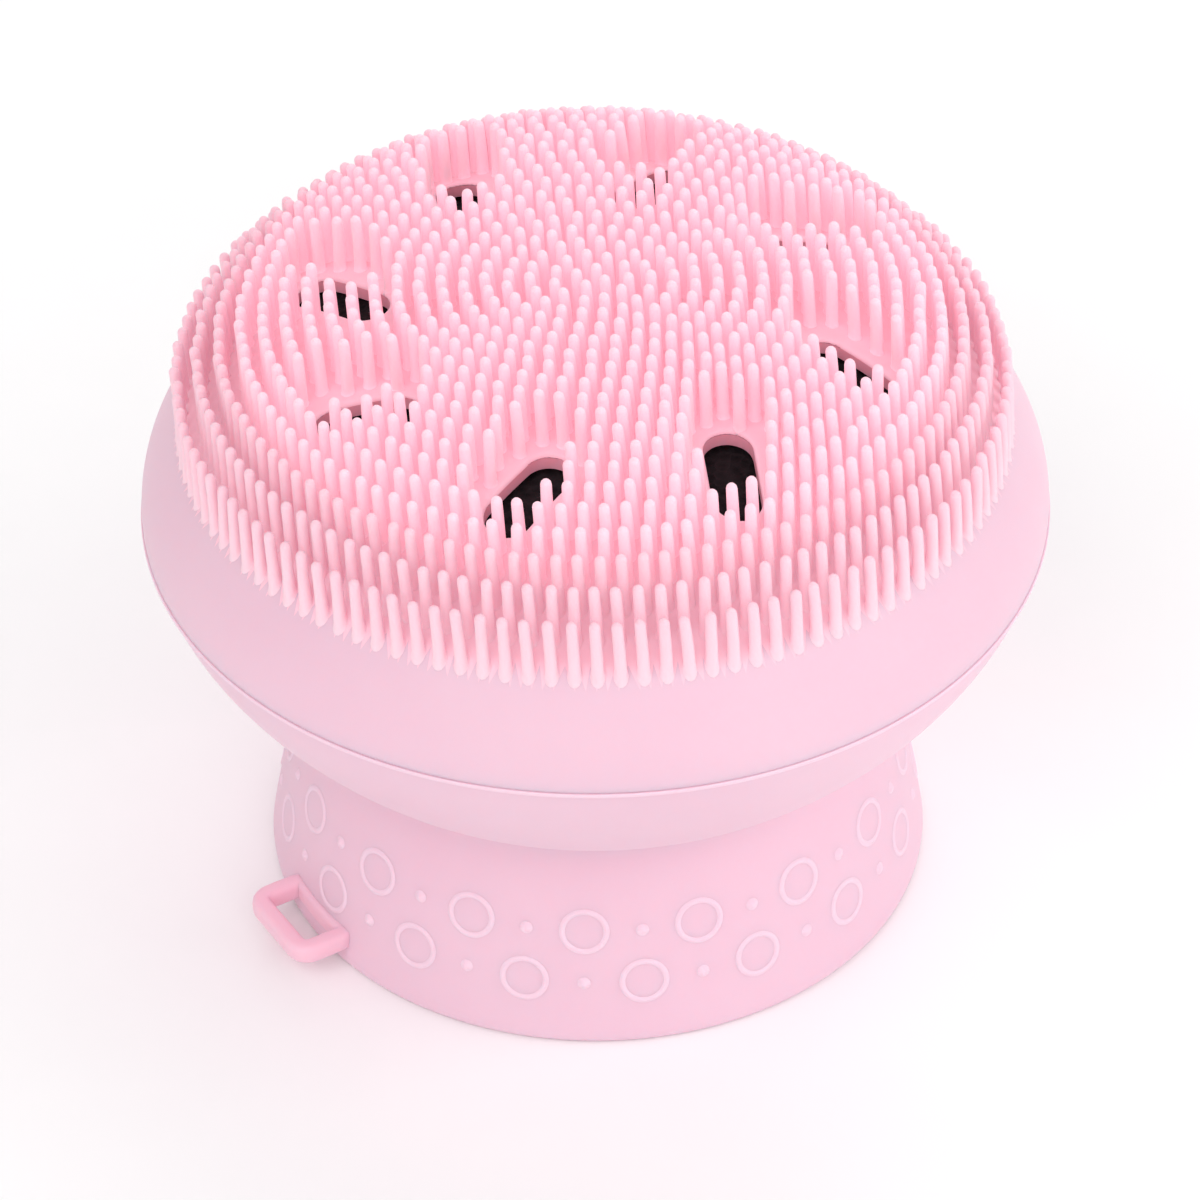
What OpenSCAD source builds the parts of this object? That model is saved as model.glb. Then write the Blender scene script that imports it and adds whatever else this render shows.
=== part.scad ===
// Manual facial cleansing brush in soft silicone: a domed bristle face over a
// foam sponge, held in a bowl on a waisted suction foot. Millimetres, +Z up,
// origin at the centre of the foot's underside, hanging eye towards -X -Y.

/* [Head] */
// Largest diameter of the head
head_d = 65; // [64:0.5:70]
// Height of the parting line between the bristle cap and the bowl
seam_z = 31.2; // [30:0.2:31.4]
// Wall thickness of the bowl
bowl_wall = 1.8; // [1.4:0.1:2.2]
// Width of the rounded shoulder above the parting line
shoulder_w = 7.5; // [7:0.1:8]
// Height of the rounded shoulder
shoulder_h = 8; // [7.6:0.1:8.2]

/* [Face] */
// Height of the middle of the bristle face
face_z = 46.5; // [46:0.1:47]
// Drop of the face from its middle to a radius of 30
face_drop = 8.4; // [8.2:0.1:8.8]
// Thickness of the face
face_t = 1.3; // [1.1:0.1:1.6]

/* [Foam slots] */
// Number of foam slots
slot_count = 8; // [5:1:10]
// Length of a foam slot
slot_l = 7.8; // [7:0.1:9]
// Width of a foam slot
slot_w = 3.5; // [2.6:0.1:4]
// Distance of a slot's middle from the axis
slot_r = 18.4; // [17:0.2:20]
// Turn of a slot away from the radial direction
slot_swirl = -24; // [-40:1:40]

/* [Bristles] */
// Radius of the innermost ring of bristles
first_ring_r = 1.05; // [0.95:0.05:1.2]
// Distance from the outermost bristles' axes to the face's edge
edge_margin = 0.65; // [0.55:0.05:1]
// Distance between bristles along a ring
spacing = 1.47; // [1.4:0.01:1.8]
// Most bristles in one ring
most_in_ring = 118; // [100:1:120]
// Radius of a bristle where it leaves the face
bristle_base_r = 0.45; // [0.3:0.01:0.5]
// Radius of a bristle at its tip
bristle_tip_r = 0.39; // [0.25:0.01:0.42]
// Height of the bristle tips at the middle of the face
tips_z = 51.1; // [50:0.1:52]
// Drop of the tips from the middle to a radius of 30
tips_drop = 8.4; // [8:0.1:9]

/* [Foot] */
// Diameter of the suction foot
foot_d = 48.6; // [47:0.2:51]
// Diameter of the waist between foot and bowl
waist_d = 40.8; // [39:0.4:42]
// Height of the waist
waist_z = 16.1; // [15:0.1:17]
// Depth of the suction hollow
hollow_depth = 11; // [8:0.5:12]
// Number of embossed rings in each row round the foot
sucker_count = 17; // [12:1:18]
// Outer diameter of an embossed ring
sucker_d = 3.6; // [3:0.1:4]

/* [Hanging eye] */
// Length of the eye's opening along the rim
eye_l = 5.3; // [4:0.1:7]
// Width of the eye's opening
eye_w = 2.3; // [1.5:0.1:2.8]
// Width of the bar round the opening
eye_bar = 1.4; // [1.2:0.1:1.8]

/* [Hidden] */
ring_count = 19;
RINGS = [for (i = [1:ring_count]) str("bristle_ring_", i < 10 ? "0" : "", i)];

silicone = "pink";
steps = 12;                 // straight pieces in one curve
head_r = head_d / 2;
foot_r = foot_d / 2;
waist_r = waist_d / 2;
slide_gap = 0.08;           // running clearance of the face and of the cap's plug
loose_gap = 0.35;           // clearance round the sponge

// cap and plug
shoulder_c = [head_r - shoulder_w, seam_z + 0.6];
opening_r = head_r - 2.45;  // opening in the cap that the face slides in
plug_in_r = opening_r - 1.05;
plug_low_z = seam_z - 2.7;
plug_top_z = seam_z + 0.7;

// bowl, with a socket for the cap's plug
rim_r = head_r - 0.2;
floor_z = waist_z + bowl_wall;
socket_r = opening_r + slide_gap;
socket_z = plug_low_z - 0.2;
bead = 0.3;                 // how far the rim's bead stands proud

// slots
slot_phase = 30.8;
slot_rim = 0.6;             // bare face between a slot's edge and a bristle's axis
root = 0.4;                 // depth of a bristle's root in the face
face_r = opening_r - slide_gap;
pitch = (face_r - edge_margin - first_ring_r) / (ring_count - 1);
row_start = 315;            // direction in which the rings' first bristles line up

// foot
upper_row_z = 9.4;
lower_row_z = 5.3;
sucker_phase = 13.2;
sucker_line_r = 0.2;
dot_r = 0.42;
eye_angle = 211.4;
eye_z = 1.6;
eye_t = 1.6;

// cubic curve through a and d, pulled towards b and c
function curve(a, b, c, d) = [for (k = [0:steps])
    let (t = k / steps, s = 1 - t)
    s^3 * a + 3 * s^2 * t * b + 3 * s * t^2 * c + t^3 * d];

// points on an ellipse round c, from angle a0 to a1
function arc(c, a, b, a0, a1) = [for (k = [0:steps])
    let (t = a0 + (a1 - a0) * k / steps) c + [a * cos(t), b * sin(t)]];

// the dome is nearly flat in the middle and rounds off towards the edge
function face_h(r) = face_z - face_drop * (r / 30)^5;
function tips_h(r) = tips_z - tips_drop * (r / 30)^5;
function polar(r, a) = [r * cos(a), r * sin(a)];
function slot_angle(k) = slot_phase + 360 / slot_count * k;

// distance from point p to the middle line of slot k
function slot_distance(p, k) =
    let (a = slot_angle(k), u = polar(1, a + slot_swirl),
         d = p - polar(slot_r, a), half = (slot_l - slot_w) / 2,
         t = max(-half, min(half, d * u)))
    norm(d - t * u);
function clear_of_slots(p) =
    min([for (k = [0:slot_count - 1]) slot_distance(p, k)]) > slot_w / 2 + slot_rim;

// outline of the foot's side, and of the bowl's outside and inside, from the waist up
foot_side = curve([foot_r, 0.9], [foot_r - 0.9, 6.6], [foot_r - 2.4, 13], [waist_r, waist_z - 0.3]);
bowl_side = curve([waist_r, waist_z + 0.1], [waist_r + 3.1, waist_z + 1.1],
    [rim_r - 1.4, seam_z - 7], [rim_r, seam_z - 0.2]);
function bowl_inside(gap) = curve([waist_r - 1 - gap, floor_z + gap], [waist_r + 2.4 - gap, floor_z + 0.8 + gap],
    [plug_in_r - 0.7 - gap, socket_z - 4.5], [plug_in_r + 0.2 - gap, socket_z]);
function foot_index(z, k = 0) = foot_side[k + 1][1] >= z ? k : foot_index(z, k + 1);
// radius of the foot at height z, and the outward tilt of its surface there
function foot_at(z) =
    let (k = foot_index(z), p = foot_side[k], q = foot_side[k + 1])
    p[0] + (q[0] - p[0]) * (z - p[1]) / (q[1] - p[1]);
function foot_tilt(z) =
    let (k = foot_index(z), d = foot_side[k + 1] - foot_side[k])
    atan2(-d[0], d[1]);

module slot_cutter(k) {
    a = slot_angle(k);
    rotate([0, 0, a]) translate([slot_r, 0, face_h(30) - 5]) rotate([0, 0, slot_swirl])
        linear_extrude(face_drop + 10) {
            square([slot_l - slot_w, slot_w], center = true);
            for (s = [-1, 1]) translate([s * (slot_l - slot_w) / 2, 0]) circle(d = slot_w, $fn = 48);
        }
}

// the domed face, with its foam slots
module face_plate() {
    radii = [for (k = [0:16]) face_r * k / 16];
    top = [for (r = radii) [r, face_h(r)]];
    under = [for (k = [16:-1:0]) [radii[k], face_h(radii[k]) - face_t]];
    color(silicone) difference() {
        rotate_extrude($fn = 96) polygon(concat(top, under));
        for (k = [0:slot_count - 1]) slot_cutter(k);
    }
}

// ring i of the bristles: tapered fingers, each rooted in the face
module bristle_ring(i) {
    r = first_ring_r + pitch * (i - 1);
    n = min(most_in_ring, round(2 * PI * r / spacing));
    z = face_h(r) - root;
    color(silicone) for (j = [0:n - 1]) {
        p = polar(r, row_start + 360 / n * (j + 0.3));
        if (clear_of_slots(p)) translate([p[0], p[1], z])
            cylinder(r1 = bristle_base_r, r2 = bristle_tip_r, h = tips_h(r) - z, $fn = 16);
    }
}

// the rounded wall of the bristle cap, with the plug that seats in the bowl
module cap_wall() {
    top_a = acos((opening_r - shoulder_c[0]) / shoulder_w);
    low_a = asin((seam_z - shoulder_c[1]) / shoulder_h);
    color(silicone) rotate_extrude($fn = 96) polygon(concat(
        arc(shoulder_c, shoulder_w, shoulder_h, low_a, top_a),
        [[opening_r, plug_top_z], [plug_in_r, plug_top_z], [plug_in_r, plug_low_z],
         [opening_r, plug_low_z], [opening_r, seam_z]]));
}

// the bowl: open at the top, with a socket for the cap and a bead round the rim
module lower_bowl() {
    inside = bowl_inside(0);
    color(silicone) rotate_extrude($fn = 96) polygon(concat(
        [[0, waist_z], [waist_r, waist_z]], bowl_side,
        [[rim_r + bead, seam_z - 0.15], [rim_r + bead, seam_z - 0.05], [rim_r, seam_z],
         [socket_r, seam_z], [socket_r, socket_z]],
        [for (k = [steps:-1:0]) inside[k]],
        [[0, floor_z]]));
}

// the suction foot up to the waist, hollow underneath
module suction_foot() {
    lip_r = foot_r - 1.5;
    color(silicone) rotate_extrude($fn = 96) polygon(concat(
        [[lip_r, 0], [foot_r - 0.5, 0], [foot_r - 0.15, 0.25]],
        foot_side,
        [[waist_r, waist_z], [0, waist_z]],
        arc([0, 0], lip_r, hollow_depth, 90, 0)));
}

// the flat hanging eye on the foot's rim
module hang_loop() {
    reach = foot_at(eye_z + eye_t) - 0.4;
    out = foot_r + eye_w + eye_bar;
    long = eye_l + 2 * eye_bar;
    corner = 1.2;
    color("hotpink") rotate([0, 0, eye_angle]) translate([0, 0, eye_z]) difference() {
        union() {
            translate([reach - 1.2, -long / 2, 0]) cube([out - corner - reach + 1.2, long, eye_t]);
            translate([reach - 1.2, -long / 2 + corner, 0]) cube([out - reach + 1.2, long - 2 * corner, eye_t]);
            for (s = [-1, 1]) translate([out - corner, s * (long / 2 - corner), 0])
                cylinder(r = corner, h = eye_t, $fn = 32);
        }
        translate([foot_r - 0.05, -eye_l / 2, -1]) cube([eye_w, eye_l, eye_t + 2]);
        translate([0, 0, -1]) cylinder(r = reach - 0.1, h = eye_t + 2, $fn = 96);
    }
}

// places a child on the foot's side at height z and angle a, its Z axis outward
module on_foot(z, a) {
    rotate([0, 0, a]) translate([foot_at(z), 0, z]) rotate([0, 90 - foot_tilt(z), 0]) children();
}

// ring and dot k of each row; the lower row is half a step round from the upper
module sucker_places(half_step) {
    step = 360 / sucker_count;
    for (k = [0:sucker_count - 1]) {
        on_foot(upper_row_z, sucker_phase + step * (k + half_step)) children();
        on_foot(lower_row_z, sucker_phase + step * (k + half_step + 0.5)) children();
    }
}

module sucker_rings() {
    color("lightpink") sucker_places(0)
        rotate_extrude($fn = 48) translate([sucker_d / 2 - sucker_line_r, 0])
            circle(r = sucker_line_r, $fn = 16);
}

module sucker_dots() {
    color("lightpink") sucker_places(0.5) sphere(r = dot_r, $fn = 24);
}

// the foam block that fills the head
module foam_sponge() {
    side_r = plug_in_r - loose_gap;
    top_r = 25;
    under_face = face_t + loose_gap;
    color("dimgray") rotate_extrude($fn = 96) polygon(concat(
        [[0, floor_z + loose_gap]],
        bowl_inside(loose_gap),
        curve([side_r, socket_z + 1.2], [side_r, 34], [side_r - 0.8, 38],
            [top_r, face_h(top_r) - under_face]),
        [for (k = [9:-1:0]) let (r = top_r * k / 10) [r, face_h(r) - under_face]]));
}

face_plate();
cap_wall();
lower_bowl();
suction_foot();
hang_loop();
sucker_rings();
sucker_dots();
foam_sponge();
bristle_ring(1);  // bristle_ring_01
bristle_ring(2);  // bristle_ring_02
bristle_ring(3);  // bristle_ring_03
bristle_ring(4);  // bristle_ring_04
bristle_ring(5);  // bristle_ring_05
bristle_ring(6);  // bristle_ring_06
bristle_ring(7);  // bristle_ring_07
bristle_ring(8);  // bristle_ring_08
bristle_ring(9);  // bristle_ring_09
bristle_ring(10);  // bristle_ring_10
bristle_ring(11);  // bristle_ring_11
bristle_ring(12);  // bristle_ring_12
bristle_ring(13);  // bristle_ring_13
bristle_ring(14);  // bristle_ring_14
bristle_ring(15);  // bristle_ring_15
bristle_ring(16);  // bristle_ring_16
bristle_ring(17);  // bristle_ring_17
bristle_ring(18);  // bristle_ring_18
bristle_ring(19);  // bristle_ring_19
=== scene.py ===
"""Soft pink silicone face brush: bristle cap over a black foam sponge, in a bowl on a suction foot."""

import math
import random

import bpy
import numpy as np
from mathutils import Matrix, Quaternion, Vector, geometry, noise


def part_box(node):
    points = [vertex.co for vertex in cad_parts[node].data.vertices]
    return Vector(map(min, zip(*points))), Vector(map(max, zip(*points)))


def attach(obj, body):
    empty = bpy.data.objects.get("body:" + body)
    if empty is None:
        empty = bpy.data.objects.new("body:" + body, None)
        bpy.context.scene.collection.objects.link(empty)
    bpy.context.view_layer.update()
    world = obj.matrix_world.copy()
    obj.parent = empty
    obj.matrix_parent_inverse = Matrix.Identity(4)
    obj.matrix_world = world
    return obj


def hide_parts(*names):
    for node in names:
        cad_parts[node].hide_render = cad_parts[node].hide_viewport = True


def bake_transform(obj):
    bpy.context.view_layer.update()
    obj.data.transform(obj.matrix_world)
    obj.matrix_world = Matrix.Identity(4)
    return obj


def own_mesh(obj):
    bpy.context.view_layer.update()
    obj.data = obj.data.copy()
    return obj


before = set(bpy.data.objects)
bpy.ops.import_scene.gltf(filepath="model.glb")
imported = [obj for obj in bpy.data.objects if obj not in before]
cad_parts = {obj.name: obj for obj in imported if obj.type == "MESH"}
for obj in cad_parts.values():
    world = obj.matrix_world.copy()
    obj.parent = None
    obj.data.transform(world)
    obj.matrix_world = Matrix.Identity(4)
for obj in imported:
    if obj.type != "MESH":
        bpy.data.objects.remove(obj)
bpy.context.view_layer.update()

# ---- sizes, in millimetres; those of whole pieces are read from the frame ----

MM = 0.001
SEGMENTS = 256                  # steps round every turned piece
random.seed(7)


def box_mm(node):
    """Low and high corner of a CAD node, in millimetres."""
    low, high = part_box(node)
    return low / MM, high / MM


foot_high = box_mm("suction_foot")[1]
bowl_high = box_mm("lower_bowl")[1]
cap_low, cap_high = box_mm("cap_wall")
face_high = box_mm("face_plate")[1]
sponge_low = box_mm("foam_sponge")[0]

FOOT_R = foot_high.x
WAIST_R = 20.4
WAIST_Z = foot_high.z
SEAM_Z = bowl_high.z
RIM_BEAD = 0.3                  # how far the bead on the bowl's rim stands proud
RIM_R = bowl_high.x - RIM_BEAD
HEAD_R = cap_high.x
FACE_R = face_high.x
FACE_Z = face_high.z
FACE_DROP = 8.4                 # drop of the face from its middle to DROP_R
DROP_R = 30
DROP_POWER = 5                  # how flat the face stays before it drops
FACE_T = 1.3
PLUG_LOW_Z = cap_low.z          # the plug is the cap's ring that seats in the bowl
PLUG_OUT_R = HEAD_R - 2.45
PLUG_IN_R = PLUG_OUT_R - 1.05
SPONGE_GAP = 0.35               # room between the sponge and what is round it
FLOOR_Z = sponge_low.z - SPONGE_GAP
SPONGE_KEEP = 0.86              # share of the sponge's height that is left with the face pressed in
SOCKET_R = PLUG_OUT_R + 0.1
SOCKET_Z = PLUG_LOW_Z - 0.2
SHOULDER_C = (HEAD_R - 7.5, SEAM_Z + 0.6)    # radius and height of the middle of the shoulder's oval
SHOULDER_W = 7.5
SHOULDER_H = 8.0
SHOULDER_FOOT = 0.3             # height above the seam at which the shoulder ends

SLOT_COUNT = 8
SLOT_R = 18.4
SLOT_L = 7.8
SLOT_W = 3.5
SLOT_PHASE = 30.8               # degrees round from +X to the first slot
SLOT_SWIRL = -24.0              # degrees from a slot's spoke to its length
SLOT_FILLET = 0.3

ROOT = 0.4                      # depth of a bristle's root in the face
ROOT_REACH = 1.2                # height over which a bristle's root stops following the face's slope
BRISTLE_BASE_R = 0.45
BRISTLE_TIP_R = 0.39
BRISTLE_SIDES = 14
FLARE_R = 0.2                   # how much wider a bristle is at its very root
FLARE_H = 0.5
EDGE_RING = 17                  # from this ring outwards, open sky reaches the bristles' sides, so they get less painted glow
LEAN = -0.22                    # how far a bristle's tip leans along X
LEAN_SPREAD = 0.07
LENGTH_SPREAD = 0.006

HOLLOW_R = FOOT_R - 1.5
HOLLOW_Z = 11.0
ROW_Z = (9.4, 5.3)              # heights of the two rows of embossed rings
ROW_COUNT = 17
ROW_PHASE = 13.2                # degrees round from +X to the first ring of the upper row
EMBOSS_R = 1.6                  # middle of an embossed ring's line
EMBOSS_LINE = 0.3               # half the width of that line
EMBOSS_H = 0.12
EMBOSS_SINK = 0.03              # how far an embossed edge starts under the foot's surface
EMBOSS_DEPTH = 0.2              # how deep its hidden underside is
DOT_R = 0.42
DOT_H = 0.24

EYE_ANGLE = 211.4               # degrees round from +X
EYE_L = 5.3                     # the opening, along the foot's rim
EYE_W = 2.3                     # the opening, outwards
EYE_BAR = 1.4
EYE_Z = 2.4
EYE_T = 1.6


# ---- outlines and small mesh tools ----

def curve(a, b, c, d, steps=40):
    """Cubic curve through a and d, pulled towards b and c."""
    a, b, c, d = (np.array(p, float) for p in (a, b, c, d))
    return [tuple((1 - t) ** 3 * a + 3 * (1 - t) ** 2 * t * b + 3 * (1 - t) * t ** 2 * c + t ** 3 * d)
            for t in np.linspace(0, 1, steps + 1)]


def corner(a, b, c, reach, steps=6):
    """Rounds corner b, between a and c, starting reach away from it."""
    a, b, c = (np.array(p, float) for p in (a, b, c))
    start = b + (a - b) / np.linalg.norm(a - b) * reach
    end = b + (c - b) / np.linalg.norm(c - b) * reach
    return [tuple((1 - t) ** 2 * start + 2 * (1 - t) * t * b + t * t * end)
            for t in np.linspace(0, 1, steps + 1)]


def rounded(points, reach):
    """An open outline with each inner corner rounded by its own reach, 0 to leave it sharp."""
    out = [points[0]]
    for k in range(1, len(points) - 1):
        if reach[k - 1]:
            out += corner(points[k - 1], points[k], points[k + 1], reach[k - 1])
        else:
            out.append(points[k])
    return out + [points[-1]]


def soften_joint(lower, upper, reach):
    """Joins two outlines that meet in a sharp notch, and returns both with the notch rounded."""
    joint = np.array(lower[-1])
    low = [p for p in lower if np.linalg.norm(np.array(p) - joint) > reach]
    up = [p for p in upper if np.linalg.norm(np.array(p) - joint) > reach]
    a, b = np.array(low[-1]), np.array(up[0])
    arc = [tuple((1 - t) ** 2 * a + 2 * (1 - t) * t * joint + t * t * b) for t in np.linspace(0, 1, 17)]
    return low + arc[1:9], arc[8:-1] + up


def face_h(r):
    """Height of the face between the bristles, at radius r."""
    return FACE_Z - FACE_DROP * (r / DROP_R) ** DROP_POWER


def new_piece(name, vertices, faces, material, sharp=None):
    """A smooth-shaded object from points in millimetres.
    Edges that bend by more than the angle in degrees stay sharp."""
    mesh = bpy.data.meshes.new(name)
    mesh.from_pydata([tuple(float(x) * MM for x in v) for v in vertices], [], faces)
    mesh.validate()
    mesh.shade_smooth()
    if sharp:
        mesh.set_sharp_from_angle(angle=math.radians(sharp))
    piece = bpy.data.objects.new(name, mesh)
    bpy.context.scene.collection.objects.link(piece)
    mesh.materials.append(material)
    return piece


def lathe_data(profile, segments=SEGMENTS):
    """Vertices and faces of a profile of (r, z) points, axis to axis, turned about Z."""
    turns = np.linspace(0, 2 * math.pi, segments, endpoint=False)
    vertices, faces, rows = [], [], []
    for r, z in profile:
        if r < 1e-6:
            rows.append([len(vertices)] * segments)
            vertices.append((0, 0, z))
        else:
            rows.append(list(range(len(vertices), len(vertices) + segments)))
            vertices += [(r * math.cos(t), r * math.sin(t), z) for t in turns]
    for a, b in zip(rows, rows[1:]):
        for k in range(segments):
            n = (k + 1) % segments
            quad = list(dict.fromkeys([a[k], a[n], b[n], b[k]]))
            if len(quad) > 2:
                faces.append(quad)
    return vertices, faces


# ---- materials ----

def tree_of(name):
    """A new material, its node tree and its shader."""
    material = bpy.data.materials.new(name)
    material.use_nodes = True
    tree = material.node_tree
    return material, tree, tree.nodes["Principled BSDF"]


def add(tree, kind, **inputs):
    """Adds a node and sets its inputs by name, with _ for a space."""
    node = tree.nodes.new(kind)
    for key, value in inputs.items():
        node.inputs[key.replace("_", " ")].default_value = value
    return node


def mixed(tree, factor, a, b):
    """Mixes two colours by a socket."""
    node = tree.nodes.new("ShaderNodeMix")
    node.data_type = "RGBA"
    tree.links.new(factor, node.inputs[0])
    for socket, value in ((node.inputs[6], a), (node.inputs[7], b)):
        if isinstance(value, tuple):
            socket.default_value = (*value, 1)
        else:
            tree.links.new(value, socket)
    return node.outputs[2]


def ranged(tree, factor, low, high, start=0.0, end=1.0):
    """Maps a socket's start to end onto low to high."""
    node = tree.nodes.new("ShaderNodeMapRange")
    node.inputs["From Min"].default_value = start
    node.inputs["From Max"].default_value = end
    node.inputs["To Min"].default_value = low
    node.inputs["To Max"].default_value = high
    tree.links.new(factor, node.inputs["Value"])
    return node.outputs["Result"]


def silicone(name, light, deep, roughness=0.5, depth=0.0022, gloss=0.35, painted_glow=0.0, along=False):
    """Satin silicone: cloudy colour, a fine moulded grain, faint handling smudges in the gloss.
    With along, the colour runs from deep to light by the mesh's own attribute of that name; on the bristles
    that is painted light, their roots made a little paler than their tips. painted_glow is painted light: an
    emission standing in for the light that soaks down through thin translucent silicone, into places that the
    sky doesn't reach."""
    material, tree, shader = tree_of(name)
    place = add(tree, "ShaderNodeTexCoord").outputs["Object"]
    cloud = add(tree, "ShaderNodeTexNoise", Scale=90.0, Detail=3.0, Roughness=0.5)
    grain = add(tree, "ShaderNodeTexNoise", Scale=2600.0, Detail=3.0, Roughness=0.6)
    smudge = add(tree, "ShaderNodeTexNoise", Scale=45.0, Detail=5.0, Roughness=0.62, Distortion=0.6)
    for node in (cloud, grain, smudge):
        tree.links.new(place, node.inputs["Vector"])
    if along:
        attribute = tree.nodes.new("ShaderNodeAttribute")
        attribute.attribute_name = "along"
        colour = mixed(tree, attribute.outputs["Fac"], deep, light)
    else:
        colour = mixed(tree, ranged(tree, cloud.outputs["Fac"], 0.0, 0.5, 0.35, 0.75), light, deep)
    tree.links.new(colour, shader.inputs["Base Color"])
    rough = ranged(tree, smudge.outputs["Fac"], roughness - 0.07, roughness + 0.09, 0.3, 0.7)
    tree.links.new(rough, shader.inputs["Roughness"])
    bump = add(tree, "ShaderNodeBump", Strength=0.16, Distance=0.00006)
    tree.links.new(grain.outputs["Fac"], bump.inputs["Height"])
    tree.links.new(bump.outputs["Normal"], shader.inputs["Normal"])
    shader.inputs["IOR"].default_value = 1.41
    shader.inputs["Specular IOR Level"].default_value = gloss
    shader.inputs["Subsurface Weight"].default_value = 0.35
    shader.inputs["Subsurface Radius"].default_value = (1.0, 0.42, 0.38)
    shader.inputs["Subsurface Scale"].default_value = depth
    shader.inputs["Sheen Weight"].default_value = 0.08
    shader.inputs["Sheen Roughness"].default_value = 0.5
    # painted light: a pink emission that makes the silicone seem lit where the sky doesn't reach
    shader.inputs["Emission Color"].default_value = (1.0, 0.60, 0.68, 1)
    shader.inputs["Emission Strength"].default_value = painted_glow
    return material


def foam(name):
    """Black open-cell foam: pores at two sizes, quite matte."""
    material, tree, shader = tree_of(name)
    place = add(tree, "ShaderNodeTexCoord").outputs["Object"]
    pores = add(tree, "ShaderNodeTexVoronoi", Scale=1300.0, Randomness=1.0)
    fine = add(tree, "ShaderNodeTexNoise", Scale=3200.0, Detail=3.0, Roughness=0.7)
    for node in (pores, fine):
        tree.links.new(place, node.inputs["Vector"])
    wall = ranged(tree, pores.outputs["Distance"], 0.0, 1.0, 0.0, 0.7)
    black = mixed(tree, wall, (0.003, 0.002, 0.003), (0.016, 0.012, 0.014))
    tree.links.new(black, shader.inputs["Base Color"])
    tree.links.new(ranged(tree, fine.outputs["Fac"], 0.8, 1.0), shader.inputs["Roughness"])
    bump = add(tree, "ShaderNodeBump", Strength=0.9, Distance=0.0004)
    tree.links.new(pores.outputs["Distance"], bump.inputs["Height"])
    grain = add(tree, "ShaderNodeBump", Strength=0.5, Distance=0.0001)
    tree.links.new(fine.outputs["Fac"], grain.inputs["Height"])
    tree.links.new(bump.outputs["Normal"], grain.inputs["Normal"])
    tree.links.new(grain.outputs["Normal"], shader.inputs["Normal"])
    shader.inputs["Specular IOR Level"].default_value = 0.25
    return material


def floor_paper(name):
    """Pale seamless paper."""
    material, tree, shader = tree_of(name)
    fibre = add(tree, "ShaderNodeTexNoise", Scale=900.0, Detail=4.0)
    paper = mixed(tree, fibre.outputs["Fac"], (0.96, 0.96, 0.96), (0.98, 0.98, 0.98))
    tree.links.new(paper, shader.inputs["Base Color"])
    shader.inputs["Roughness"].default_value = 0.9
    return material


SHELL = silicone("shell_silicone", (0.86, 0.57, 0.68), (0.84, 0.53, 0.65))
# a paler pink than the shell: painted highlight on the thin raised rings, dots and the bowl's rim bead
EMBOSSED = silicone("embossed_silicone", (0.91, 0.65, 0.76), (0.90, 0.62, 0.74),
                    roughness=0.6, depth=0.0002)
# the face between the bristles: a deeper pink as painted shade among the bristles, and painted glow
FACE = silicone("face_silicone", (0.93, 0.55, 0.64), (0.91, 0.51, 0.61), painted_glow=0.14)
# darker mauve: painted shade on the walls inside the slots
SLOT_WALL = silicone("slot_wall_silicone", (0.86, 0.43, 0.52), (0.82, 0.39, 0.48), depth=0.0012)
# painted glow on the bristles: more on the inner rings, less on the edge rings
BRISTLE, EDGE_BRISTLE = [
    silicone(name, (0.93, 0.61, 0.70), (0.96, 0.65, 0.73),
             roughness=0.6, depth=0.0003, gloss=0.25, painted_glow=painted_glow, along=True)
    for name, painted_glow in (("bristle_silicone", 0.18), ("edge_bristle_silicone", 0.05))]
EYE = silicone("eye_silicone", (0.95, 0.58, 0.69), (0.93, 0.53, 0.65), depth=0.0012)
FOAM = foam("sponge_foam")


# ---- the bristle cap ----

def slot_angle(k):
    return math.radians(SLOT_PHASE + 360 / SLOT_COUNT * k)


def slot_distance(x, y):
    """Distance outwards from the edge of the nearest foam slot, negative inside it."""
    half = (SLOT_L - SLOT_W) / 2
    best = 1e9
    for k in range(SLOT_COUNT):
        a = slot_angle(k)
        b = a + math.radians(SLOT_SWIRL)
        dx, dy = x - SLOT_R * math.cos(a), y - SLOT_R * math.sin(a)
        t = max(-half, min(half, dx * math.cos(b) + dy * math.sin(b)))
        best = min(best, math.hypot(dx - t * math.cos(b), dy - t * math.sin(b)) - SLOT_W / 2)
    return best


def slot_loop(k, out, count=56):
    """Points round slot k, that far outside its edge, spread over two half turns and two straights."""
    a = slot_angle(k)
    b = a + math.radians(SLOT_SWIRL)
    half, radius = (SLOT_L - SLOT_W) / 2, SLOT_W / 2 + out
    straight = 8
    turn = count // 2 - straight
    local = []
    for side in (1, -1):
        for j in range(turn):
            t = math.pi * j / turn - math.pi / 2
            local.append((side * (half + radius * math.cos(t)), side * radius * math.sin(t)))
        for j in range(straight):
            local.append((side * (half - 2 * half * j / straight), side * radius))
    return [(SLOT_R * math.cos(a) + u * math.cos(b) - v * math.sin(b),
             SLOT_R * math.sin(a) + u * math.sin(b) + v * math.cos(b)) for u, v in local]


def dip(d):
    """How far the face is rounded down at a distance d from a slot's edge."""
    if d >= SLOT_FILLET:
        return 0.0
    return SLOT_FILLET - math.sqrt(max(0.0, SLOT_FILLET ** 2 - (SLOT_FILLET - d) ** 2))


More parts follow.
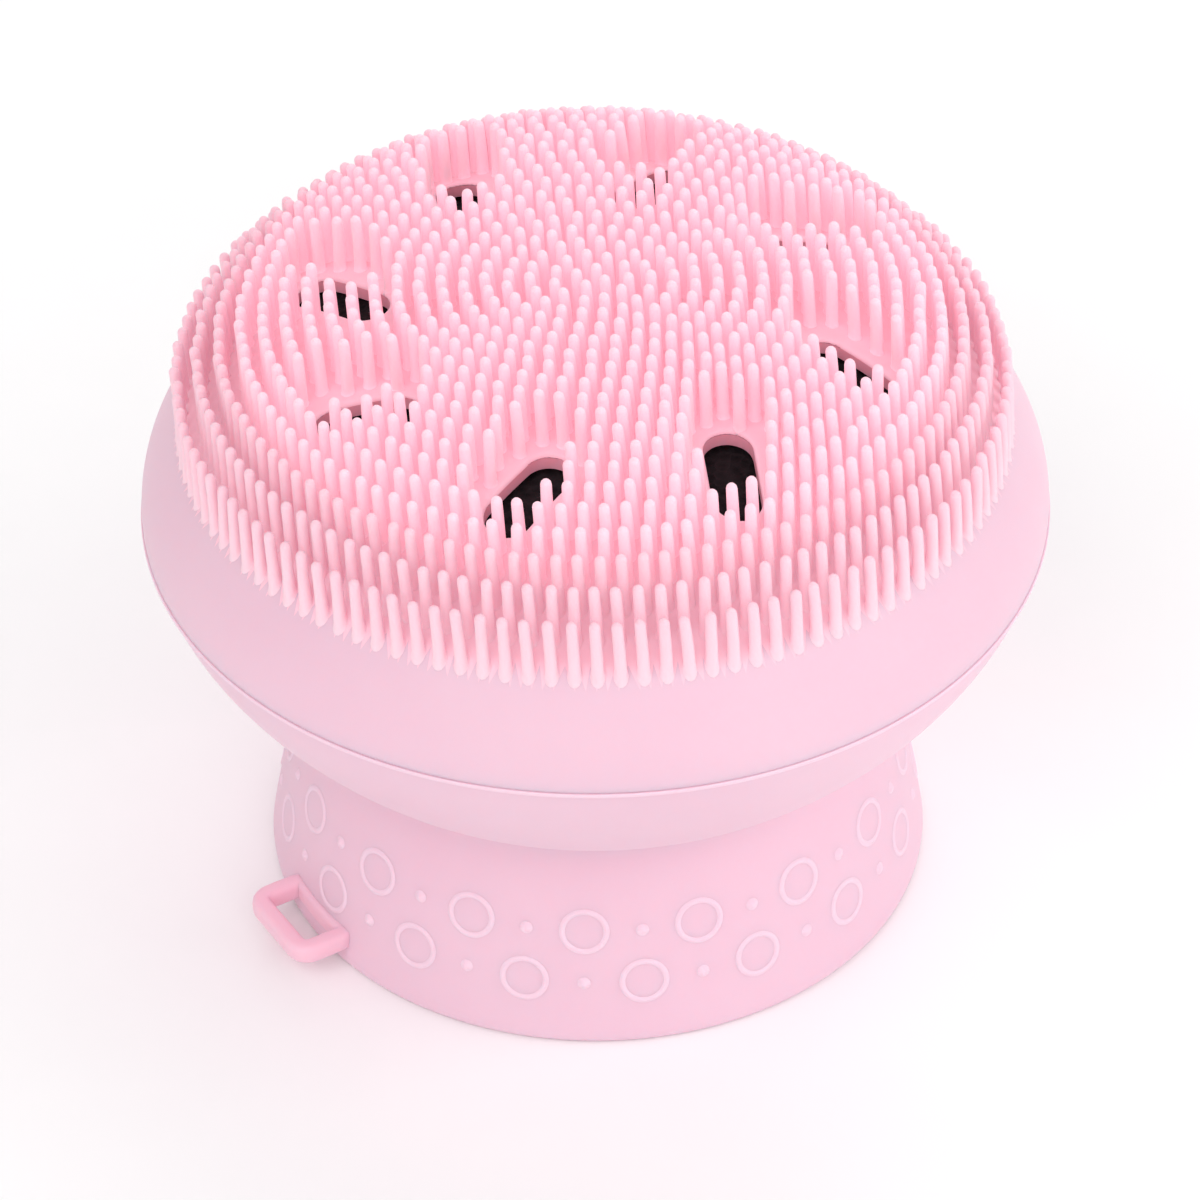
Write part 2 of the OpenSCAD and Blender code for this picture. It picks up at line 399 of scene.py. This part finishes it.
def face_net():
    """The face between its slots, seen flat from above.
    Gives the points, the triangles, the index loop of each slot's edge, and the face's rim."""
    points, edges, loops = [], [], []
    for k in range(SLOT_COUNT):
        for turn in (0, 15, 30, 45, 60, 75, 90, 130, 180):    # degrees round the fillet, and on past it
            out = SLOT_FILLET * (1 - math.cos(math.radians(turn)))
            first = len(points)
            loop = slot_loop(k, out)
            points += loop
            edges += [(first + j, first + (j + 1) % len(loop)) for j in range(len(loop))]
            if turn == 0:
                loops.append(list(range(first, first + len(loop))))
    first = len(points)
    turns = np.linspace(0, 2 * math.pi, SEGMENTS, endpoint=False)
    points += [(FACE_R * math.cos(t), FACE_R * math.sin(t)) for t in turns]
    edges += [(first + j, first + (j + 1) % SEGMENTS) for j in range(SEGMENTS)]
    rim = list(range(first, first + SEGMENTS))
    step = 0.85
    clear = 2 * SLOT_FILLET + 0.35
    for r in np.arange(step, FACE_R - 0.5, step):
        n = round(2 * math.pi * r / step)
        stagger = 0.5 * (round(r / step) % 2)
        for j in range(n):
            t = 2 * math.pi * (j + stagger) / n
            x, y = r * math.cos(t), r * math.sin(t)
            if slot_distance(x, y) > clear:
                points.append((x, y))
    points.append((0.0, 0.0))
    found = geometry.delaunay_2d_cdt([Vector(p) for p in points], edges, [], 0, 1e-7)
    place = {}
    for new, old in enumerate(found[3]):
        for index in old:
            place[index] = new
    flat = [tuple(v) for v in found[0]]
    triangles = []
    for f in found[2]:
        x = sum(flat[i][0] for i in f) / 3
        y = sum(flat[i][1] for i in f) / 3
        if slot_distance(x, y) > 0:
            triangles.append(list(f))
    return flat, triangles, [[place[i] for i in loop] for loop in loops], [place[i] for i in rim]


def make_cap():
    """The bristle cap's skin in one piece: the face with its slots, the shoulder and the plug."""
    flat, triangles, loops, rim = face_net()
    count = len(flat)
    inner_r = 28.5                # edge of the face's underside
    pull_r = 26                   # the underside is drawn in from here outwards
    lip_h, lip_reach = 0.08, 0.15    # rounding of a slot's lower edge
    vertices = []
    for x, y in flat:
        vertices.append((x, y, face_h(math.hypot(x, y)) - dip(slot_distance(x, y))))
    for x, y in flat:
        r = math.hypot(x, y)
        pull = 1 - (1 - inner_r / FACE_R) * max(0.0, (r - pull_r) / (FACE_R - pull_r)) ** 2
        lip = lip_h * max(0.0, 1 - slot_distance(x, y) / lip_reach) ** 2
        vertices.append((x * pull, y * pull, face_h(r) - FACE_T + lip))
    faces = [list(f) for f in triangles] + [[i + count for i in reversed(f)] for f in triangles]
    for loop in loops:
        n = len(loop)
        rows = [loop]
        for share in (0.33, 0.67):
            row = []
            for i in loop:
                a, b = vertices[i], vertices[i + count]
                row.append(len(vertices))
                vertices.append(tuple(a[j] + (b[j] - a[j]) * share for j in range(3)))
            rows.append(row)
        rows.append([i + count for i in loop])
        for upper, lower in zip(rows, rows[1:]):
            faces += [[upper[j], lower[j], lower[(j + 1) % n], upper[(j + 1) % n]] for j in range(n)]

    top = math.acos((FACE_R - SHOULDER_C[0]) / SHOULDER_W)
    low = math.asin((SEAM_Z + SHOULDER_FOOT - SHOULDER_C[1]) / SHOULDER_H)
    edge_z = face_h(FACE_R)
    shoulder = [(SHOULDER_C[0] + SHOULDER_W * math.cos(t), SHOULDER_C[1] + SHOULDER_H * math.sin(t))
                for t in np.linspace(top, low, 36)]
    lift = edge_z - shoulder[0][1]
    settled = 10                  # points of the shoulder over which it meets the face's edge
    shoulder = [(r, z + lift * max(0.0, 1 - k / settled) ** 2) for k, (r, z) in enumerate(shoulder)]
    under = (inner_r, edge_z - FACE_T)
    lip_r = shoulder[-1][0]
    plug = rounded([shoulder[-1], (lip_r - 0.02, SEAM_Z + 0.01), (PLUG_OUT_R, SEAM_Z + 0.01),
                    (PLUG_OUT_R, PLUG_LOW_Z), (PLUG_IN_R, PLUG_LOW_Z), (PLUG_IN_R, SEAM_Z + 3.2), under],
                   (0.06, 0, 0.3, 0.3, 1.2))
    rows = [rim]
    turns = [math.atan2(flat[i][1], flat[i][0]) for i in rim]
    for r, z in shoulder[1:] + plug[1:-1]:
        rows.append(list(range(len(vertices), len(vertices) + SEGMENTS)))
        vertices += [(r * math.cos(t), r * math.sin(t), z) for t in turns]
    rows.append([i + count for i in rim])
    for a, b in zip(rows, rows[1:]):
        faces += [[a[k], b[k], b[(k + 1) % SEGMENTS], a[(k + 1) % SEGMENTS]] for k in range(SEGMENTS)]
    piece = new_piece("bristle_cap", vertices, faces, SHELL, sharp=50)
    piece.data.materials.append(FACE)
    piece.data.materials.append(SLOT_WALL)
    painted_face_r = FACE_R - 0.6         # the face's painted shade, a deeper pink, and its painted glow end here
    # the slot walls' faces, which take SLOT_WALL's painted shade
    first_wall = 2 * len(triangles)
    wall_rows = 3
    last_wall = first_wall + wall_rows * sum(map(len, loops))
    # the face near the middle takes FACE's painted shade and glow
    for polygon in piece.data.polygons:
        if polygon.index < len(triangles) and math.hypot(*polygon.center[:2]) / MM < painted_face_r:
            polygon.material_index = 1
        elif first_wall <= polygon.index < last_wall:
            polygon.material_index = 2
    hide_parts("cap_wall", "face_plate")
    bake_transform(piece)
    return piece


def bristle_axes(node):
    """Where each bristle of a CAD ring stands, and the height of the ring's roots and of its tips."""
    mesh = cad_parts[node].data
    co = np.zeros(len(mesh.vertices) * 3)
    mesh.vertices.foreach_get("co", co)
    co = co.reshape(-1, 3) / MM
    tips = np.unique(co[co[:, 2] > co[:, 2].max() - 0.001].round(4), axis=0)
    angle = np.arctan2(tips[:, 1], tips[:, 0])
    order = np.argsort(angle)
    tips, angle = tips[order], angle[order]
    ring_r = np.hypot(tips[:, 0], tips[:, 1]).mean()
    gap = 0.3 / ring_r            # points of one tip lie closer together than this angle
    breaks = np.where(np.diff(np.append(angle, angle[0] + 2 * math.pi)) > gap)[0] + 1
    tips = np.roll(tips, -breaks[0], axis=0)
    groups = np.split(tips, breaks[1:] - breaks[0])
    axes = [(g.min(axis=0)[:2] + g.max(axis=0)[:2]) / 2 for g in groups if len(g)]
    return axes, co[:, 2].min(), co[:, 2].max()


def bristle_profile(length):
    """Radius and height up one bristle: a small flare at the root, a slight taper, a domed tip."""
    foot = ROOT * 0.5
    flare = [(BRISTLE_BASE_R + FLARE_R * (1 - t) ** 2.2, foot + FLARE_H * t) for t in (0, 0.3, 0.6, 1.0)]
    tip = length - BRISTLE_TIP_R
    taper = BRISTLE_TIP_R - BRISTLE_BASE_R
    body = [(BRISTLE_BASE_R + taper * t, foot + FLARE_H + (tip - foot - FLARE_H) * t)
            for t in (0.33, 0.67, 1.0)]
    dome = [(BRISTLE_TIP_R * math.cos(t), tip + BRISTLE_TIP_R * math.sin(t)) for t in (0.45, 0.9, 1.25)]
    return flare + body + dome


def make_bristles(number):
    """One ring of bristles, each a little different in lean and length.
    Their roots follow the face's slope."""
    node = f"bristle_ring_{number:02d}"
    axes, low, high = bristle_axes(node)
    profile = bristle_profile(high - low)
    vertices, faces, along = [], [], []
    for x, y in axes:
        lean_x, lean_y = random.gauss(LEAN, LEAN_SPREAD), random.gauss(0, LEAN_SPREAD)
        short = 1 - abs(random.gauss(0, LENGTH_SPREAD))
        axis_h = face_h(math.hypot(x, y))
        first = len(vertices)
        for r, z in profile:
            share = max(0.0, (z - ROOT) / (high - low - ROOT))
            bend = share ** 1.4
            rooted = max(0.0, 1 - max(0.0, z - ROOT) / ROOT_REACH)
            for k in range(BRISTLE_SIDES):
                t = 2 * math.pi * k / BRISTLE_SIDES
                px = x + lean_x * bend + r * math.cos(t)
                py = y + lean_y * bend + r * math.sin(t)
                sink = rooted * (face_h(math.hypot(px, py)) - axis_h)
                vertices.append((px, py, low + z * short + sink))
                along.append(share)
        vertices.append((x + lean_x, y + lean_y, low + (high - low) * short))
        along.append(1.0)
        rows = len(profile)
        for row in range(rows - 1):
            for k in range(BRISTLE_SIDES):
                a, b = first + row * BRISTLE_SIDES, first + (row + 1) * BRISTLE_SIDES
                n = (k + 1) % BRISTLE_SIDES
                faces.append([a + k, a + n, b + n, b + k])
        last = first + (rows - 1) * BRISTLE_SIDES
        faces += [[last + k, last + (k + 1) % BRISTLE_SIDES, len(vertices) - 1] for k in range(BRISTLE_SIDES)]
        faces.append([first + k for k in reversed(range(BRISTLE_SIDES))])
    piece = new_piece(f"bristles_{number:02d}", vertices, faces,
                      EDGE_BRISTLE if number >= EDGE_RING else BRISTLE)
    # painted light: the along share makes the roots, deep in the bristle field, a little paler than the tips
    shade = piece.data.attributes.new("along", "FLOAT", "POINT")
    shade.data.foreach_set("value", np.array(along, np.float32) ** 0.8)
    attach(piece, "face")
    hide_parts(node)
    return piece


# ---- the foam sponge ----

def make_sponge():
    """The foam block, its skin broken up into open cells."""
    side_r = PLUG_IN_R - SPONGE_GAP
    top_r = 25.0
    top_steps, bottom_steps, around = 60, 30, 288
    top = [(r, face_h(r) - FACE_T - SPONGE_GAP)
           for r in (top_r * k / top_steps for k in range(top_steps, -1, -1))]
    bowl = curve((WAIST_R - 1.35, FLOOR_Z + SPONGE_GAP), (WAIST_R + 2.05, FLOOR_Z + 1.15),
                 (PLUG_IN_R - 1.05, SOCKET_Z - 4.5), (side_r, SOCKET_Z), 32)
    # stretched upwards at rest, so that it clears the bowl when it is squashed
    inside = [(r, sponge_low.z + (z - sponge_low.z) / SPONGE_KEEP) for r, z in bowl]
    side = curve((side_r, inside[-1][1] + 0.8), (side_r, 34.5), (side_r - 0.8, 38), top[0], 22)
    bottom = [(inside[0][0] * k / bottom_steps, inside[0][1]) for k in range(bottom_steps)]
    vertices, faces = lathe_data(bottom + inside + side + top[1:], around)
    cell_scale, cell_reach, cell_depth = 0.9, 0.5, 0.5
    lump_scale, lump_depth = 2.3, 0.12
    skin = 0.05
    middle_z, flatten = 30, 1.2
    cells = []
    for v in vertices:
        p = Vector(v)
        d, _ = noise.voronoi(p * cell_scale)
        pit = max(0.0, cell_reach - d[0]) * cell_depth + lump_depth * noise.noise(p * lump_scale)
        out = Vector((v[0], v[1], (v[2] - middle_z) * flatten)).normalized()
        cells.append(p - out * max(0.0, pit + skin))
    piece = new_piece("foam_sponge_block", cells, faces, FOAM)
    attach(piece, "sponge")
    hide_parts("foam_sponge")
    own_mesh(piece)
    return piece


# ---- the base ----

foot_side = curve((FOOT_R, 0.9), (FOOT_R - 0.9, 6.6), (FOOT_R - 2.4, 13), (WAIST_R, WAIST_Z))
bowl_side = curve((WAIST_R, WAIST_Z), (WAIST_R + 3.1, WAIST_Z + 1.1),
                  (RIM_R - 1.4, SEAM_Z - 7), (RIM_R, SEAM_Z - 0.35))
foot_outline, bowl_outline = soften_joint(foot_side, bowl_side, 1.5)


def foot_at(z):
    """Radius of the foot's side at height z."""
    return float(np.interp(z, [p[1] for p in foot_side], [p[0] for p in foot_side]))


def make_bowl():
    """The bowl, with the bead round its rim and the socket for the cap's plug."""
    bead_low, bead_high = SEAM_Z - 0.36, SEAM_Z - 0.01
    inside = curve((WAIST_R - 1, FLOOR_Z), (WAIST_R + 2.4, FLOOR_Z + 0.8),
                   (PLUG_IN_R - 0.7, SOCKET_Z - 4.5), (PLUG_IN_R + 0.2, SOCKET_Z))
    rim = rounded([(RIM_R, bead_low), (RIM_R + RIM_BEAD, bead_low), (RIM_R + RIM_BEAD, bead_high),
                   (SOCKET_R, bead_high), (SOCKET_R, SOCKET_Z), inside[-1]], (0.15, 0.05, 0.15, 0))
    waist = bowl_outline[0]
    profile = [(0, waist[1]), (waist[0] / 2, waist[1])] + bowl_outline
    profile += rim + inside[-2::-1] + [(0, FLOOR_Z)]
    piece = new_piece("base_bowl", *lathe_data(profile), SHELL, sharp=40)
    piece.data.materials.append(EMBOSSED)
    # the rim bead takes EMBOSSED, whose paler pink is a painted highlight along the seam
    bead_from = SEAM_Z - 0.4
    for polygon in piece.data.polygons:
        if math.hypot(*polygon.center[:2]) > RIM_R * MM and polygon.center.z > bead_from * MM:
            polygon.material_index = 1
    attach(piece, "base")
    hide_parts("lower_bowl")
    return piece


def make_foot():
    """The suction foot: a flared skirt, thin at its lip and hollow underneath."""
    lip = rounded([(HOLLOW_R + 0.02, 0.25), (HOLLOW_R + 0.1, 0), (FOOT_R - 0.5, 0),
                   (FOOT_R - 0.05, 0.3), foot_outline[0]], (0.15, 0.1, 0.25))
    hollow = [(HOLLOW_R * math.sin(t), HOLLOW_Z * math.cos(t))
              for t in np.linspace(0, math.pi / 2 - 0.03, 40)]
    waist = foot_outline[-1]
    profile = hollow + lip + foot_outline[1:] + [(waist[0] / 2, waist[1]), (0, waist[1])]
    piece = new_piece("base_foot", *lathe_data(profile), SHELL, sharp=40)
    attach(piece, "base")
    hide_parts("suction_foot")
    return piece


def on_foot(angle, z, u, v, out):
    """A point on the foot's side: u round it and v up it from (angle, z), standing out by that much."""
    slope = foot_at(z + 0.5) - foot_at(z - 0.5)
    length = math.hypot(slope, 1)
    height = z + v / length
    radius = foot_at(height)
    turn = angle + u / radius
    radius += out / length
    return radius * math.cos(turn), radius * math.sin(turn), height - out * slope / length


def emboss_places(half_step):
    """Angle and height of each ring, or with half_step 0.5 of each dot, in both rows."""
    step = 2 * math.pi / ROW_COUNT
    for row, z in enumerate(ROW_Z):
        for k in range(ROW_COUNT):
            yield math.radians(ROW_PHASE) + step * (k + half_step + 0.5 * row), z


def make_embossed_rings():
    """Thin raised circles whose edges flow into the foot."""
    across = np.linspace(-1, 1, 9)
    section = [(EMBOSS_R + EMBOSS_LINE * t, EMBOSS_H * math.cos(t * math.pi / 2) ** 1.5 - EMBOSS_SINK)
               for t in across]
    section += [(EMBOSS_R + side, -EMBOSS_DEPTH) for side in (0.2, -0.2)]
    vertices, faces = [], []
    steps = 48
    for angle, z in emboss_places(0):
        first = len(vertices)
        for k in range(steps):
            t = 2 * math.pi * k / steps
            vertices += [on_foot(angle, z, r * math.cos(t), r * math.sin(t), out) for r, out in section]
        n = len(section)
        for k in range(steps):
            a, b = first + k * n, first + (k + 1) % steps * n
            faces += [[a + j, b + j, b + (j + 1) % n, a + (j + 1) % n] for j in range(n)]
    piece = new_piece("embossed_rings", vertices, faces, EMBOSSED)
    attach(piece, "base")
    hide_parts("sucker_rings")
    return piece


def make_embossed_dots():
    """Small raised pips between the rings."""
    section = [(DOT_R * t * 1.35, DOT_H * math.cos(t * math.pi / 2) ** 1.4 - EMBOSS_SINK)
               for t in np.linspace(0.15, 1, 7)]
    section.append((DOT_R, -EMBOSS_DEPTH))
    vertices, faces = [], []
    steps = 20
    for angle, z in emboss_places(0.5):
        first = len(vertices)
        for r, out in section:
            for k in range(steps):
                t = 2 * math.pi * k / steps
                vertices.append(on_foot(angle, z, r * math.cos(t), r * math.sin(t), out))
        for row in range(len(section) - 1):
            a, b = first + row * steps, first + (row + 1) * steps
            faces += [[a + k, b + k, b + (k + 1) % steps, a + (k + 1) % steps] for k in range(steps)]
        vertices.append(on_foot(angle, z, 0, 0, DOT_H - EMBOSS_SINK))
        faces += [[first + k, first + (k + 1) % steps, len(vertices) - 1] for k in range(steps)]
        last = first + (len(section) - 1) * steps
        faces.append([last + k for k in reversed(range(steps))])
    piece = new_piece("embossed_dots", vertices, faces, EMBOSSED)
    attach(piece, "base")
    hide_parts("sucker_dots")
    return piece


def make_eye():
    """The flat hanging eye: a rounded bar bent into a closed ring, fused to the foot's rim."""
    out = FOOT_R + EYE_W + EYE_BAR / 2
    half = (EYE_L + EYE_BAR) / 2
    fused_r = FOOT_R - 0.6
    root = math.sqrt(fused_r ** 2 - half ** 2)
    inner = [(math.sqrt(fused_r ** 2 - y ** 2), y) for y in np.linspace(half - 0.9, 0.9 - half, 13)]
    path = rounded([inner[-1], (root, -half), (out, -half), (out, half), (root, half), inner[0]],
                   (0.85, 1.1, 1.1, 0.85))
    step = 0.22
    fine = []
    for a, b in zip(path, path[1:]):
        n = max(1, round(math.dist(a, b) / step))
        fine += [(a[0] + (b[0] - a[0]) * k / n, a[1] + (b[1] - a[1]) * k / n) for k in range(n)]
    fine += inner[:-1]
    sides = 20
    boxy = 0.6                    # 1 is an oval section, 0 a square one
    section = []
    for k in range(sides):
        t = 2 * math.pi * (k + 0.5) / sides
        section.append((math.copysign(abs(math.cos(t)) ** boxy, math.cos(t)) * EYE_BAR / 2,
                        math.copysign(abs(math.sin(t)) ** boxy, math.sin(t)) * EYE_T / 2))
    turn = Matrix.Rotation(math.radians(EYE_ANGLE), 3, "Z")
    vertices, faces = [], []
    count, n = len(fine), len(section)
    for k, p in enumerate(fine):
        a, b = np.array(fine[k - 1]), np.array(fine[(k + 1) % count])
        along = (b - a) / np.linalg.norm(b - a)
        side = np.array([along[1], -along[0]])
        for u, v in section:
            q = np.array(p) + side * u
            vertices.append(turn @ Vector((q[0], q[1], EYE_Z + v)))
    for k in range(count):
        a, b = k * n, (k + 1) % count * n
        faces += [[a + j, a + (j + 1) % n, b + (j + 1) % n, b + j] for j in range(n)]
    piece = new_piece("hanging_eye", vertices, faces, EYE, sharp=60)
    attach(piece, "base")
    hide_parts("hang_loop")
    return piece


# ---- studio ----

LAMP_SIZE = 0.6
BRUSH_MIDDLE = Vector((0, 0, 0.025))


def make_camera():
    """The brush seen from the front, from well above."""
    elevation, roll = math.radians(39.5), math.radians(0.475)
    view_angle = 11.09
    target, distance = Vector((0.27, 0, 21.45)) * MM, 450 * MM
    back = Vector((0, -math.cos(elevation), math.sin(elevation)))
    data = bpy.data.cameras.new("camera")
    data.sensor_width = 36
    data.lens = data.sensor_width / 2 / math.tan(math.radians(view_angle / 2))
    data.clip_start, data.clip_end = 0.01, 20
    camera = bpy.data.objects.new("camera", data)
    camera.rotation_mode = "QUATERNION"
    camera.location = target + back * distance
    camera.rotation_quaternion = (-back).to_track_quat("-Z", "Y") @ Quaternion((0, 0, 1), -roll)
    bpy.context.scene.collection.objects.link(camera)
    bpy.context.scene.camera = camera


def area_light(name, place, power):
    """A soft round lamp that faces the middle of the brush."""
    data = bpy.data.lights.new(name, "AREA")
    data.shape = "DISK"
    data.size = LAMP_SIZE
    data.energy = power
    light = bpy.data.objects.new(name, data)
    light.location = place
    light.rotation_mode = "QUATERNION"
    light.rotation_quaternion = (BRUSH_MIDDLE - Vector(place)).to_track_quat("-Z", "Y")
    bpy.context.scene.collection.objects.link(light)


def make_studio():
    """A pale floor, a soft sky and four soft lights round the brush."""
    size = 3.0
    mesh = bpy.data.meshes.new("floor")
    corners = [(-size, -size, 0), (size, -size, 0), (size, size, 0), (-size, size, 0)]
    mesh.from_pydata(corners, [], [(0, 1, 2, 3)])
    mesh.materials.append(floor_paper("floor_paper"))
    floor = bpy.data.objects.new("floor", mesh)
    bpy.context.scene.collection.objects.link(floor)
    world = bpy.data.worlds.new("studio")
    world.use_nodes = True
    sky = world.node_tree.nodes["Background"]
    sky.inputs["Color"].default_value = (1, 1, 1, 1)
    sky.inputs["Strength"].default_value = 0.54
    bpy.context.scene.world = world
    bpy.context.scene.view_settings.view_transform = "Standard"
    area_light("left", (-0.3, -0.4, 0.5), 1.45)
    area_light("front", (0.15, -0.6, 0.42), 1.05)
    area_light("right", (0.62, -0.1, 0.3), 1.5)
    area_light("back", (0.1, 0.5, 0.4), 1.35)


make_camera()
make_studio()
make_cap()
for ring in range(1, 1 + sum(name.startswith("bristle_ring_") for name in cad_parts)):
    make_bristles(ring)
make_sponge()
make_bowl()
make_foot()
make_embossed_rings()
make_embossed_dots()
make_eye()
